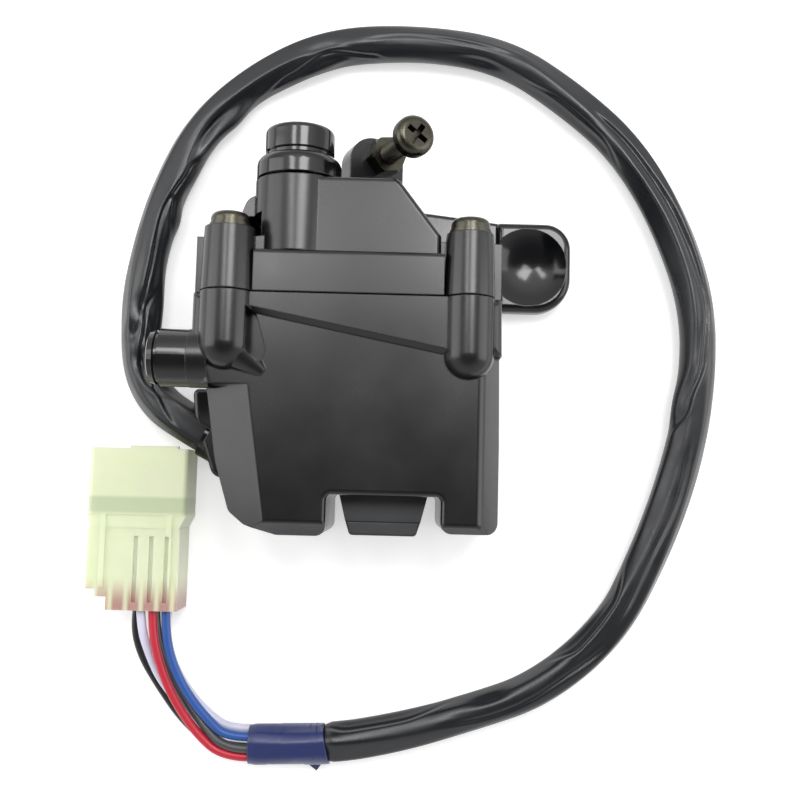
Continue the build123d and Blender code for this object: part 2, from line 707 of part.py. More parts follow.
def back_cover_screws():
    """Countersunk M3 screws in the back cover."""
    screws = []
    for x, y in back_cover_holes:
        head = Pos(x, y, bench_level + 0.15) * Cone(2.75, 1.35, 1.5, align=BASE)
        shank = Pos(x, y, bench_level + 0.15) * Cylinder(1.2, 10.0, align=BASE)
        slot = Pos(x, y, bench_level + 0.15) * Box(3.2, 0.7, 1.3)
        screws.append(head + shank - slot - slot.rotate(Axis((x, y, 0), (0, 0, 1)), 90))
    return Compound(screws)


def drive_button():
    """The push button: tapered skirt, proud lip and the flange that keeps it in its window."""
    x, z = button_middle
    half, tip = button_width / 2, button_tip_width / 2
    front, back = z + button_depth / 2, z - button_depth / 2
    low = -notch_ceiling - 6.4
    skirt = prism_z([(x - half, -chamber_floor + 1.8), (x - half, -notch_ceiling), (x - tip, low),
                     (x + tip, low), (x + half, -notch_ceiling), (x + half, -chamber_floor + 1.8)],
                    back, front, [0.1, 0.3, 0.8, 0.8, 0.3, 0.1])
    lip = prism_z([(x - tip - 0.1, low + 0.6), (x - tip + 0.9, -notch_ceiling - button_reach),
                   (x + tip - 0.9, -notch_ceiling - button_reach), (x + tip + 0.1, low + 0.6)],
                  back - 0.6, front + 0.7, [0.3, 1.0, 1.0, 0.3])
    lip = fillet(lip.faces().sort_by(Axis.Z)[-1].edges(), 0.5)
    flange = block((x - half - 1.5, x + half + 1.5), (-chamber_floor + 0.05, -chamber_floor + 2.0),
                   (back - 1.5, front + 1.5))
    return skirt + lip + flange


def button_plunger():
    """The nylon plunger between the button and the moving contact."""
    x, z = button_middle
    stem = block((x - 5, x + 5), (-chamber_floor + 2.0, contact_seat), (z - 4, z + 4))
    nose = along_y(x, z, contact_seat, contact_seat + 1.6, 2.2)
    return stem + nose


def moving_contact():
    """The copper bridge on the plunger, with a pip at each end."""
    x, z = button_middle
    bridge = block((x - contact_span - 0.9, x + contact_span + 0.9), (contact_seat, contact_seat + 0.8),
                   (z - 3, z + 3))
    for side in (-1, 1):
        tip = pad_face - button_travel - contact_gap
        bridge += along_y(x + side * contact_span, z, contact_seat, tip, 0.9)
    return bridge - along_y(x, z, contact_seat - 1, contact_seat + 2, 2.22)


def button_spring():
    """The coil spring that returns the button."""
    x, z = button_middle
    low = contact_seat + 0.8 + button_spring_wire / 2
    high = base_low - button_spring_wire / 2
    pitch = (high - low) / button_spring_turns
    path = Helix(pitch, high - low, 3.4)
    wire = sweep(Plane(origin=path @ 0, z_dir=path % 0) * Circle(button_spring_wire / 2), path,
                 is_frenet=True)
    print("button spring: least gap between turns", round(pitch - button_spring_wire, 2))
    return Pos(x, low, z) * Rot(-90, 0, 0) * wire


def switch_base():
    """The moulded plate that carries the fixed contacts."""
    low = base_low
    plate = block((-base_left, base_right), (low, low + base_thickness), (-base_back, base_front))
    for x, z in base_screw_places:
        plate -= along_y(x, z, low - 1, low + base_thickness + 1, 1.3)
    return plate


def switch_base_screws():
    """Two small screws that hold the switch base."""
    low = base_low
    screws = []
    for x, z in base_screw_places:
        head = along_y(x, z, low - 1.6, low, 2.2) - along_y(x, z, low - 2, low - 0.9, 0.9)
        screws.append(head + along_y(x, z, low - 0.1, -chamber_top + 0.6, 1.0))
    return Compound(screws)


def fixed_contacts():
    """Two brass pads under the switch base."""
    x, z = button_middle
    low = base_low
    return Compound([block((x + side * contact_span - 1.4, x + side * contact_span + 1.4),
                           (pad_face, low), (z - 3, z + 7)) for side in (-1, 1)])


def inlet_tube():
    """The steel tube that the empty boot is pushed on."""
    outer = boot_radius - boot_wall - 0.03
    tube = along_x(boot_y, boot_z, -clamp_left - boot_length + 2.4, inlet_inner, outer)
    return tube - along_x(boot_y, boot_z, -60, 0, outer - inlet_wall)


def inlet_boot():
    """The rubber boot with its groove and rolled lip, along X."""
    end = clamp_left + boot_length - 0.9
    start = clamp_left + 0.6
    bore = boot_radius - boot_wall
    profile = [(bore, start), (boot_radius, start), (boot_radius, end - 2.6), (boot_radius - 0.9, end - 2.3),
               (boot_radius - 0.9, end - 1.8), (boot_radius - 0.4, end - 1.5),
               (boot_radius - 0.7, end - 0.3), (boot_radius - 1.3, end), (bore - 0.6, end),
               (bore - 0.6, end - 1.2), (bore, end - 1.4)]
    ring = revolve(Plane.XZ * make_face(Polyline(*profile, close=True)), Axis.Z)
    return Pos(0, boot_y, boot_z) * Rot(0, -90, 0) * ring


def harness_grommet():
    """The rubber bush in the harness exit."""
    bush = Cylinder(grommet_radius, 5.0, align=TOP)
    bush += Cylinder(grommet_flange_radius, grommet_flange, align=BASE)
    return exit_frame * Pos(0, 0, 0.02) * (bush - Cylinder(sleeve_diameter / 2 + 0.05, 30))


def swept_tube(points, radius):
    """A tube along straight runs joined by arcs as large as the runs allow, with its path."""
    corners = [Vector(*p) for p in points]
    radii = []
    for before, here, after in zip(corners, corners[1:], corners[2:]):
        turn = math.radians((here - before).get_angle(after - here))
        shorter = min((here - before).length, (after - here).length)
        radii.append(0.45 * shorter / math.tan(turn / 2))
    path = FilletPolyline(*points, radius=radii)
    profile = Plane(origin=path @ 0, z_dir=path % 0) * Circle(radius)
    return sweep(profile, path), path, radii


def report_tube(name, tube, path, radii, radius):
    """Print a cord's length, arcs and how its volume compares with section times length."""
    share = tube.volume / (math.pi * radius ** 2 * path.length)
    print(name, "length", round(path.length, 1), "volume share", round(share, 4),
          "radii", [round(r, 1) for r in radii])


def sleeve(radius):
    """The harness sleeve's tube at a radius."""
    return swept_tube(sleeve_route, radius)


def harness_sleeve():
    """The soft sleeve, from inside its grommet round to the tape."""
    tube, path, radii = sleeve(sleeve_diameter / 2)
    report_tube("harness_sleeve", tube, path, radii, sleeve_diameter / 2)
    return tube


def tape_wrap():
    """The turn of tape over the end of the sleeve."""
    end = sleeve_route[-1][0]
    slice_box = block((end, end + tape_length), (-125, -90), (bench_level, 0))
    return (sleeve(sleeve_diameter / 2 + tape_thickness)[0] & slice_box) - sleeve(sleeve_diameter / 2)[0]


def wire(name):
    """One lead between the tape and its terminal."""
    tube, path, radii = swept_tube(wire_routes[name], wire_diameter / 2)
    report_tube(name, tube, path, radii, wire_diameter / 2)
    return tube


def connector_housing():
    """The six-way nylon connector: open hood, neck and body with three columns of cavities."""
    x, z = connector_middle
    half, deep = connector_width / 2, connector_thickness / 2
    hood_low = connector_top - connector_hood
    body_high = hood_low - connector_neck
    body_low = body_high - connector_body + 0.6
    hood = block((x - half, x + half), (hood_low, connector_top), (z - deep, z + deep))
    hood = fillet(hood.edges().filter_by(Axis.Y), 1.2)
    neck = prism_z([(x - half, hood_low), (x - half + 0.9, body_high), (x + half - 1.6, body_high),
                    (x + half, hood_low)], z - deep + 0.3, z + deep - 0.3)
    body = prism_z([(x - half + 0.3, body_high + 0.01), (x - half + 0.3, body_low + 5.0),
                    (x - half + 2.6, body_low + 5.0), (x - half + 2.6, body_low + 3.2),
                    (x - half + 5.4, body_low + 3.2), (x - half + 5.4, body_low),
                    (x + half - 1.4, body_low), (x + half - 1.4, body_high + 0.01)],
                   z - deep + 0.5, z + deep - 0.5)
    shell = hood + neck + body
    shell += block((x - 2.2, x + 9.6), (connector_top - 4.0, connector_top + 0.6), (z + deep - 1.6, z + deep))
    for rib in (-8.6, 7.6):
        shell += block((x + rib, x + rib + 1.2), (body_low + 5.5, hood_low), (z + 2, z + deep))
    shell -= block((x - half + connector_wall, x + half - connector_wall),
                   (connector_top - connector_hood + 3.0, connector_top + 2),
                   (z - deep + connector_wall, z + deep - connector_wall))
    slot = terminal_width / 2 + 0.05
    for column in connector_columns:
        shell -= block((column - 0.55, column + 0.55), (body_low + 2.0, body_high - 2.0),
                       (z + deep - 1.2, z + deep + 1))
        for row in connector_rows:
            shell -= block((column - 1.7, column + 1.7), (body_low - 1, hood_low - 2.0),
                           (row - 1.6, row + 1.6))
            shell -= block((column - slot, column + slot), (hood_low - 2.1, hood_low + 3.1),
                           (row - terminal_thickness / 2 - 0.05, row + terminal_thickness / 2 + 0.05))
    return shell


def connector_terminals():
    """Six crimp terminals with flat blades in the hood."""
    hood_low = connector_top - connector_hood
    half = terminal_width / 2
    terminals = []
    for column in connector_columns:
        for row in connector_rows:
            barrel = block((column - half - 0.3, column + half + 0.3), (wire_end, hood_low - 2.2),
                           (row - 1.55, row + 1.55))
            blade = block((column - half, column + half), (hood_low - 2.3, connector_top - 4.0),
                          (row - terminal_thickness / 2, row + terminal_thickness / 2))
            terminals.append(barrel + blade)
    return Compound(terminals)


sleeve_floor = bench_level + sleeve_diameter / 2 + tape_thickness + 0.05
sleeve_route = [
    (-32.4, -32.74, -13.6), (-41.1, -27.92, -13.6), (-49.4, -22.6, -15.0), (-54.3, -13.8, sleeve_floor),
    (-54.9, -1.9, sleeve_floor), (-54.1, 13.8, sleeve_floor), (-49.1, 32.9, sleeve_floor),
    (-40.7, 50.5, sleeve_floor), (-26.3, 63.6, sleeve_floor), (-8.7, 72.3, sleeve_floor),
    (14.6, 74.2, sleeve_floor), (37.5, 71.1, sleeve_floor), (55.3, 59.6, sleeve_floor),
    (70.1, 46.3, sleeve_floor), (81.1, 27.9, sleeve_floor), (88.2, 6.3, sleeve_floor),
    (88.2, -14.5, sleeve_floor), (83.9, -36.3, sleeve_floor), (76.3, -57.5, sleeve_floor),
    (65.9, -77.6, sleeve_floor), (49.0, -91.8, sleeve_floor), (31.5, -98.0, sleeve_floor),
    (13.6, -103.4, sleeve_floor), (-4.6, -106.9, sleeve_floor), (-22.9, -106.9, sleeve_floor),
]
wire_end = -70.5
wire_face = sleeve_route[-1][0]
connector_columns = (-51.5, -47.7, -43.9)
connector_rows = (-11.4, -17.0)
wire_routes = {
    "wire_red": [(-47.4, wire_end, -11.4), (-47.4, -78.0, -11.4), (-45.6, -86.5, -12.0),
                 (-42.0, -95.6, -13.4), (-36.0, -104.2, -14.4), (-29.4, -109.7, -14.45),
                 (wire_face, -109.7, -14.45)],
    "wire_blue": [(-44.2, wire_end, -11.4), (-44.2, -78.0, -11.4), (-42.4, -86.6, -12.0),
                  (-38.4, -94.4, -12.8), (-32.6, -101.2, -13.4), (-28.4, -104.7, -13.75),
                  (wire_face, -104.7, -13.75)],
    "wire_grey": [(-47.9, wire_end, -17.0), (-47.9, -78.0, -17.0), (-45.4, -87.2, -16.8),
                  (-40.2, -95.6, -16.2), (-33.9, -103.0, -15.0), (-28.6, -107.4, -13.2),
                  (wire_face, -107.4, -13.2)],
    "wire_white": [(-51.0, wire_end, -11.4), (-51.0, -78.0, -11.4), (-49.2, -85.6, -14.6),
                   (-45.4, -93.0, -17.4), (-39.0, -99.8, -18.5), (-32.0, -105.7, -18.65),
                   (wire_face, -105.7, -18.65)],
    "wire_black": [(-51.9, wire_end, -17.0), (-51.9, -78.0, -17.0), (-50.2, -86.2, -18.4),
                   (-46.2, -94.6, -19.5), (-39.8, -102.8, -19.5), (-31.8, -108.5, -18.95),
                   (wire_face, -108.5, -18.95)],
    "wire_white_tracer": [(-44.2, wire_end, -17.0), (-44.2, -78.0, -17.0), (-42.0, -86.4, -17.0),
                          (-37.4, -93.6, -17.0), (-31.6, -100.4, -16.85), (-27.6, -103.3, -16.65),
                          (wire_face, -103.3, -16.65)],
}

pieces = {
    "throttle_housing": throttle_housing,
    "throttle_cover": throttle_cover,
    "throttle_cover_screws": throttle_cover_screws,
    "clamp_screws": clamp_screws,
    "clamp_washers": clamp_washers,
    "pivot_shaft": pivot_shaft,
    "pivot_bushes": pivot_bushes,
    "pivot_washer": pivot_washer,
    "pivot_nut": pivot_nut,
    "pivot_cap": pivot_cap,
    "cable_drum": cable_drum,
    "return_spring": return_spring,
    "throttle_lever": throttle_lever,
    "limiter_screw": limiter_screw,
    "limiter_lock_nut": limiter_lock_nut,
    "switch_housing": switch_housing,
    "cover_gasket": cover_gasket,
    "switch_back_cover": switch_back_cover,
    "back_cover_screws": back_cover_screws,
    "drive_button": drive_button,
    "button_plunger": button_plunger,
    "moving_contact": moving_contact,
    "button_spring": button_spring,
    "switch_base": switch_base,
    "switch_base_screws": switch_base_screws,
    "fixed_contacts": fixed_contacts,
    "inlet_tube": inlet_tube,
    "inlet_boot": inlet_boot,
    "harness_grommet": harness_grommet,
    "harness_sleeve": harness_sleeve,
    "tape_wrap": tape_wrap,
    "connector_housing": connector_housing,
    "connector_terminals": connector_terminals,
}

os.makedirs("parts", exist_ok=True)
for name, make in pieces.items():
    export_step(make(), f"parts/{name}.step")
for name in wire_routes:
    export_step(wire(name), f"parts/{name}.step")
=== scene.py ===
# %% [markdown]
# # A quad's throttle and drive-select switch
# The part is the right-hand control housing of a quad, lying on its back on a white bench. The rigid
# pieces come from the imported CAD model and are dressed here. The soft ones, a vinyl sleeve, its tape
# and six leads, are made here, because a CAD solid can't show how vinyl creases.

# %% Load the model
import json
import math

import bpy
from mathutils import Matrix, Vector

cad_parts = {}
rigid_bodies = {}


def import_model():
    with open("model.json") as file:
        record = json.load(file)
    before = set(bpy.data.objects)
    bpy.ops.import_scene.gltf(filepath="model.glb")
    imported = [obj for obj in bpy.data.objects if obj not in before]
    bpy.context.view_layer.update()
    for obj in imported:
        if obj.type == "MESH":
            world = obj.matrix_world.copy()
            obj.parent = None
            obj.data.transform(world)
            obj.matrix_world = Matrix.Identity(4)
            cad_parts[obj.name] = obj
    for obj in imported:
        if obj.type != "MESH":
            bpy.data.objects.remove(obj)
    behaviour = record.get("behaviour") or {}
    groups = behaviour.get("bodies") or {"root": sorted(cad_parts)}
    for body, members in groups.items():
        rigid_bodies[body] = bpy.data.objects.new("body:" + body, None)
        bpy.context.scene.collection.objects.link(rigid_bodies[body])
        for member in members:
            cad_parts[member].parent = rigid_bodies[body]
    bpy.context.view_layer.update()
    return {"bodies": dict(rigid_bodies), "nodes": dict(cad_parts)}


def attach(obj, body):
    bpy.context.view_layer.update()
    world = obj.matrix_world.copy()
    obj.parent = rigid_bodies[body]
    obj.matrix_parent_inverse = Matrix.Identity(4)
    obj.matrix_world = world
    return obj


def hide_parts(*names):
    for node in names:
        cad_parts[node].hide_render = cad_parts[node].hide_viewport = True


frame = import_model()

MM = 0.001

# %% [markdown]
# ## The camera
# The photograph looks almost straight down at the part, from a quarter of a metre away. Its lens
# was worked out from the sizes in the picture: 1030 pixels of focal length for a picture 800 pixels
# wide. The camera leans five degrees towards the top of the part and is turned by one and a half.

# %% Camera
FOCAL_PIXELS = 1030
PICTURE_PIXELS = 800
SENSOR_WIDTH = 36
CAMERA_PLACE = Vector((12.2, -43.3, 246.0))
LEAN = math.radians(5.0)
TURN = math.radians(1.5)

camera = bpy.data.objects.new("camera", bpy.data.cameras.new("camera"))
bpy.context.scene.collection.objects.link(camera)
bpy.context.scene.camera = camera
camera.data.sensor_width = SENSOR_WIDTH
camera.data.lens = SENSOR_WIDTH * FOCAL_PIXELS / PICTURE_PIXELS
camera.data.clip_start, camera.data.clip_end = 0.01, 20

ahead = Vector((0, math.sin(LEAN), -math.cos(LEAN)))
level_up = Vector((0, math.cos(LEAN), math.sin(LEAN)))
level_right = Vector((1, 0, 0))
right = math.cos(TURN) * level_right + math.sin(TURN) * level_up
up = -math.sin(TURN) * level_right + math.cos(TURN) * level_up
camera.matrix_world = (Matrix.Translation(CAMERA_PLACE * MM)
                       @ Matrix((right, up, -ahead)).transposed().to_4x4())
print("lens in mm:", round(camera.data.lens, 2))

# %% [markdown]
# ## The cords' lines
# A cord is drawn as one smooth line first. A NURBS curve pulls towards its control points without
# touching them, which is how a flexible lead takes its bends, so the points are the corners that
# the CAD model's tubes go round, with a few moved to follow the photograph. The curve's order is set
# after the points are in, or it would stay straight. Blender turns the curve into points, and what
# is built along it follows those.

# %% Smooth lines
def smooth_curve(name, route):
    """A curve object whose one NURBS spline has these control points, given in millimetres."""
    data = bpy.data.curves.new(name, "CURVE")
    data.dimensions = "3D"
    spline = data.splines.new("NURBS")
    spline.points.add(len(route) - 1)
    for point, place in zip(spline.points, route):
        point.co = (*(v * MM for v in place), 1)
    spline.order_u = 3
    spline.use_endpoint_u = True
    spline.resolution_u = 16
    curve = bpy.data.objects.new(name, data)
    bpy.context.scene.collection.objects.link(curve)
    return curve


def line_of(curve):
    """The points that the curve passes through."""
    mesh = bpy.data.meshes.new_from_object(curve)
    points = [vertex.co.copy() for vertex in mesh.vertices]
    bpy.data.meshes.remove(mesh)
    return points


def length_of(points):
    """The length of a line of points."""
    return sum((b - a).length for a, b in zip(points, points[1:]))


def evenly(points, step):
    """The same line with points a step apart."""
    total = length_of(points)
    count = max(2, round(total / step))
    wanted = [total * i / count for i in range(count + 1)]
    placed, travelled, at = [], 0.0, 0
    for distance in wanted:
        leg = points[at + 1] - points[at]
        while at < len(points) - 2 and travelled + leg.length < distance:
            travelled += leg.length
            at += 1
            leg = points[at + 1] - points[at]
        share = (distance - travelled) / leg.length if leg.length > 0 else 0
        placed.append(points[at] + leg * min(1, max(0, share)))
    return placed


test_line = [Vector((0, 0, 0)), Vector((1, 0, 0)), Vector((1, 1, 0))]
print("a test line of length", length_of(test_line), "gets", len(evenly(test_line, 0.25)), "points")

# %% [markdown]
# ## The vinyl sleeve
# The harness runs in a soft black PVC tube with room to spare, so it lies flattened and folded:
# broad flat bands, sharp folds that wander across the tube, and small dents on the inner side of the
# bend. A displacement texture can't draw one long fold, so the tube is built ring by ring. Each ring
# is a circle that four planes cut flat, three of which turn slowly along the tube. The folds and
# dents listed below then press it in.

# %% Sleeve route
SLEEVE_DIAMETER = 9.0
BENCH = -21.0
FOLD_ROOM = 0.45  # folds stand proud of the tube, so its middle lies this much higher
RING_STEP = 0.8
LYING = BENCH + SLEEVE_DIAMETER / 2 + FOLD_ROOM
sleeve_route = [
    (-32.4, -32.74, -13.6), (-41.1, -27.92, -13.6), (-49.4, -22.6, -15.0), (-54.3, -13.8, LYING),
    (-54.9, -1.9, LYING), (-54.1, 13.8, LYING), (-49.1, 32.9, LYING), (-40.7, 50.5, LYING),
    (-26.3, 63.6, LYING), (-8.7, 72.3, LYING), (14.6, 74.2, LYING), (37.5, 71.1, LYING),
    (55.3, 59.6, LYING), (70.1, 46.3, LYING), (81.1, 27.9, LYING), (88.2, 6.3, LYING),
    (88.2, -14.5, LYING), (83.9, -36.3, LYING), (76.3, -57.5, LYING), (65.9, -77.6, LYING),
    (49.0, -91.8, LYING), (31.5, -98.0, LYING), (13.6, -103.4, LYING), (-4.6, -106.9, LYING),
    (-22.9, -106.9, LYING),
]
sleeve_curve = smooth_curve("sleeve_line", sleeve_route)
sleeve_line = evenly(line_of(sleeve_curve), RING_STEP * MM)
bpy.data.objects.remove(sleeve_curve)
SLEEVE_LENGTH = length_of(sleeve_line)
print("sleeve length in mm:", round(SLEEVE_LENGTH / MM, 1), "rings:", len(sleeve_line))

# %% Sleeve folds and dents
# A fold is a track of (distance along the tube in mm, angle round it in degrees), then its depth and
# breadth in mm. Angle 0 is the outer side of the loop, 90 the top and 180 the inner side.
FOLDS = [
    ([(8, 60), (20, 110), (34, 150)], 1.0, 0.9),
    ([(14, 130), (26, 95), (44, 120), (52, 165)], 1.1, 0.9),
    ([(40, 100), (56, 118), (70, 108), (84, 135), (92, 182)], 1.1, 0.9),
    ([(26, 50), (31, 100), (37, 140)], 0.9, 0.7),
    ([(34, 50), (40, 95), (46, 130)], 0.9, 0.7),
    ([(62, 176), (70, 142), (80, 112)], 1.0, 0.9),
    ([(112, 178), (122, 150), (134, 118), (146, 150), (152, 178)], 1.1, 1.0),
    ([(140, 96), (156, 84), (172, 92), (190, 84)], 0.5, 0.8),
    ([(186, 150), (200, 128), (214, 132), (226, 168)], 0.8, 1.0),
    ([(206, 92), (224, 84), (246, 72), (266, 66), (280, 84), (292, 118), (303, 172)], 1.3, 0.8),
    ([(300, 88), (316, 76), (334, 90), (352, 82)], 0.6, 0.9),
    ([(334, 168), (348, 130), (362, 126), (372, 168)], 0.9, 1.0),
    ([(352, 60), (370, 80), (388, 70), (404, 88)], 0.7, 0.9),
    ([(396, 166), (410, 134), (424, 138), (434, 172)], 0.8, 1.0),
]
# A dent is a distance, an angle, half its length, half its breadth and its depth. Below 0 it swells.
DENTS = [
    (97, 124, 8.0, 1.7, 2.1), (113, 176, 5.0, 2.6, 1.0), (102, 178, 5.0, 2.4, -0.8),
    (76, 178, 4.0, 2.5, 0.8), (69, 176, 4.0, 2.5, -0.6), (133, 100, 5.0, 1.3, 0.8),
    (139, 178, 5.0, 2.2, 0.8), (292, 168, 6.5, 2.0, -0.9), (30, 96, 2.6, 1.6, 0.9),
    (38, 70, 2.2, 1.5, 0.8), (45, 104, 2.6, 1.6, 0.9), (176, 140, 5.0, 1.3, 0.7),
    (214, 170, 6.0, 2.0, 0.6), (346, 172, 6.0, 2.2, 0.7), (388, 128, 5.0, 1.3, 0.8),
]
FADE = 9  # a fold grows and dies over its first and last 9 mm
print("folds:", len(FOLDS), "dents:", len(DENTS))


# %% Where a fold runs
def between(value, low, high):
    """0 below low, 1 above high, and a smooth step from one to the other."""
    share = min(1, max(0, (value - low) / (high - low)))
    return share * share * (3 - 2 * share)


def follow(track, distance):
    """The angle of a fold at a distance along the tube, and how strong it is there."""
    first, last = track[0][0], track[-1][0]
    for (start, angle), (end, next_angle) in zip(track, track[1:]):
        if start <= distance <= end:
            strength = min(between(distance, first, first + FADE),
                           1 - between(distance, last - FADE, last))
            return angle + (next_angle - angle) * between(distance, start, end), strength
    return 0, 0


print("first fold at 20 mm:", [round(v, 2) for v in follow(FOLDS[0][0], 20)])

# %% The sleeve's surface
TAPE_LENGTH = 19.0
TAPE_SQUEEZE = 0.15  # the share by which the tape draws the sleeve in
SHARPNESS = 26       # how sharply two flat bands meet
LEAST_RADIUS = 2.4   # the leads inside keep the folds from closing the tube


def plane_cut(angle, facing, height, most):
    """How far out a flat band lets the tube's surface stand, at an angle."""
    lean = math.cos(math.radians(angle - facing))
    return height / lean if lean > height / most else most


def banded_radius(distance, angle):
    """The tube before its folds: a circle that swells and shrinks a little, cut by four planes."""
    # It bulges by 0.7 mm round 46 mm along, where it is pushed together at the first bend.
    most = 4.8 + 0.2 * math.sin(distance / 17 + 1) + 0.1 * math.sin(distance / 9.3)
    most += 0.7 * math.exp(-((distance - 46) / 9) ** 2)
    top_facing = 76 + 16 * math.sin(distance / 41 + 0.6) + 5 * math.sin(distance / 17)
    side_facing = 140 + 18 * math.sin(distance / 33 + 2.0) + 6 * math.sin(distance / 14)
    bands = [
        plane_cut(angle, top_facing, 4.0 + 0.25 * math.sin(distance / 19), most),
        plane_cut(angle, side_facing, 4.1 + 0.3 * math.sin(distance / 11 + 1), most),
        plane_cut(angle, 20 + 14 * math.sin(distance / 37), 4.3, most),
        plane_cut(angle, 270, 4.3, most),
    ]
    return (sum(band ** -SHARPNESS for band in bands) / len(bands)) ** (-1 / SHARPNESS)


def sleeve_radius(distance, angle):
    """The distance in mm from the sleeve's middle to its surface."""
    radius = banded_radius(distance, angle)
    for track, depth, breadth in FOLDS:
        middle, strength = follow(track, distance)
        if strength > 0:
            # A narrow crease, a broad hollow on one side of it and a low lip on the other.
            across = math.radians(angle - middle) * radius
            crease = math.exp(-(across / (0.55 * breadth)) ** 2)
            hollow = math.exp(-((across - 1.6 * breadth) / (1.5 * breadth)) ** 2)
            lip = math.exp(-((across + 1.0 * breadth) / (0.7 * breadth)) ** 2)
            pressed = -0.50 * depth * crease - 0.32 * depth * hollow + 0.14 * depth * lip
            radius += strength * pressed
    for start, middle, half_length, half_breadth, depth in DENTS:
        across = math.radians(angle - middle) * radius / half_breadth
        along = (distance - start) / half_length
        radius -= depth * math.exp(-(along * along + across * across))
    untaped = SLEEVE_LENGTH / MM - TAPE_LENGTH
    taped = between(distance, untaped - 2, untaped + 1)
    return max(radius, LEAST_RADIUS) * (1 - TAPE_SQUEEZE * taped)


print("sleeve radius at 97 mm, every 60 degrees:",
      [round(sleeve_radius(97, angle), 2) for angle in range(0, 360, 60)])

# %% Rings into a tube
SEGMENTS = 72
SLEEVE_LIFT, TAPE_LIFT = 0.06, 0.04  # so that nothing lies exactly in the bench


def ring_mesh(name, line, radius_at, lowest):
    """A tube with capped ends: one ring of points round each point of the line, none too low."""
    points, faces = [], []
    travelled = 0.0
    for i, centre in enumerate(line):
        heading = (line[min(i + 1, len(line) - 1)] - line[max(i - 1, 0)]).normalized()
        outer = heading.cross(Vector((0, 0, 1))).normalized() * -1
        over = outer.cross(heading).normalized()
        over = over if over.z > 0 else -over
        travelled += (centre - line[i - 1]).length / MM if i else 0
        for k in range(SEGMENTS):
            turn = 360 * k / SEGMENTS
            reach = radius_at(travelled, turn) * MM
            spot = centre + reach * (math.cos(math.radians(turn)) * outer
                                     + math.sin(math.radians(turn)) * over)
            spot.z = max(spot.z, lowest * MM)
            points.append(spot)
    for i in range(len(line) - 1):
        here, there = i * SEGMENTS, (i + 1) * SEGMENTS
        for k in range(SEGMENTS):
            after = (k + 1) % SEGMENTS
            faces.append((here + k, here + after, there + after, there + k))
    faces.append(tuple(range(SEGMENTS))[::-1])
    faces.append(tuple(len(points) - SEGMENTS + k for k in range(SEGMENTS)))
    mesh = bpy.data.meshes.new(name)
    mesh.from_pydata(points, [], faces)
    mesh.validate()
    for polygon in mesh.polygons:
        polygon.use_smooth = len(polygon.vertices) == 4
    piece = bpy.data.objects.new(name, mesh)
    bpy.context.scene.collection.objects.link(piece)
    return piece


sleeve = ring_mesh("sleeve", sleeve_line, sleeve_radius, BENCH + SLEEVE_LIFT)
print("sleeve faces:", len(sleeve.data.polygons))

# %% [markdown]
# ## The tape
# Blue PVC tape goes round the end of the sleeve a few times and ends in a pointed tail. It clings to
# the bundle, so it is a shallow tube with a wavy edge, and the steps between its turns stand proud.
# The tube above serves again with another radius. The tail is too small to curl: five corners do.

# %% Tape
TAPE_RINGS = 60
tape_line = []
for i in range(TAPE_RINGS + 1):
    covered = i * TAPE_LENGTH / TAPE_RINGS
    spot = sleeve_line[-1] + Vector((covered * MM, 0, 0))
    spot.y = sleeve_line[-1 - round(covered / RING_STEP)].y
    tape_line.append(spot)


def tape_radius(distance, angle):
    """The tape's surface: flat bands, turns that overlap and a pinch near the leads."""
    turns = 0.12 * between(math.sin(distance / 3.1 + math.radians(angle) * 0.6), -0.1, 0.1)
    wobble = 0.10 * math.sin(math.radians(3 * angle) + distance / 4)
    bands = min(plane_cut(angle, 96, 4.55, 4.85), plane_cut(angle, 200, 4.6, 4.85),
                plane_cut(angle, 30, 4.7, 4.85))
    return bands + turns * 0.6 + wobble - 0.25 * between(2 - distance, 0, 2)


tape = ring_mesh("tape", tape_line, tape_radius, BENCH + TAPE_LIFT)
print("tape faces:", len(tape.data.polygons))

# %% Tape tail
TAIL_THICKNESS = Vector((0, 0, -0.25))  # a tail of tape that has stuck to itself
tail_top = [Vector(corner) for corner in (
    (-10.2, -110.9, -18.2), (-4.4, -110.9, -18.2), (-5.0, -112.0, -18.9), (-6.3, -113.9, -19.6),
    (-8.0, -112.6, -19.2))]
corners = len(tail_top)
tail_sides = [(i, i + corners, (i + 1) % corners + corners, (i + 1) % corners)
              for i in range(corners)]
tail_mesh = bpy.data.meshes.new("tape_tail")
tail_mesh.from_pydata([corner * MM for corner in tail_top]
                      + [(corner + TAIL_THICKNESS) * MM for corner in tail_top], [],
                      [tuple(range(corners)), tuple(range(corners, 2 * corners))[::-1]] + tail_sides)
tape_tail = bpy.data.objects.new("tape_tail", tail_mesh)
bpy.context.scene.collection.objects.link(tape_tail)
print("tail corners:", corners)

# %% [markdown]
# ## The six leads
# Each lead is stranded copper in a soft PVC coat, 2.2 mm across. They leave the connector in two
# rows of three, cross once and meet under the tape. A curve with a round bevel gives such a smooth
# coat.

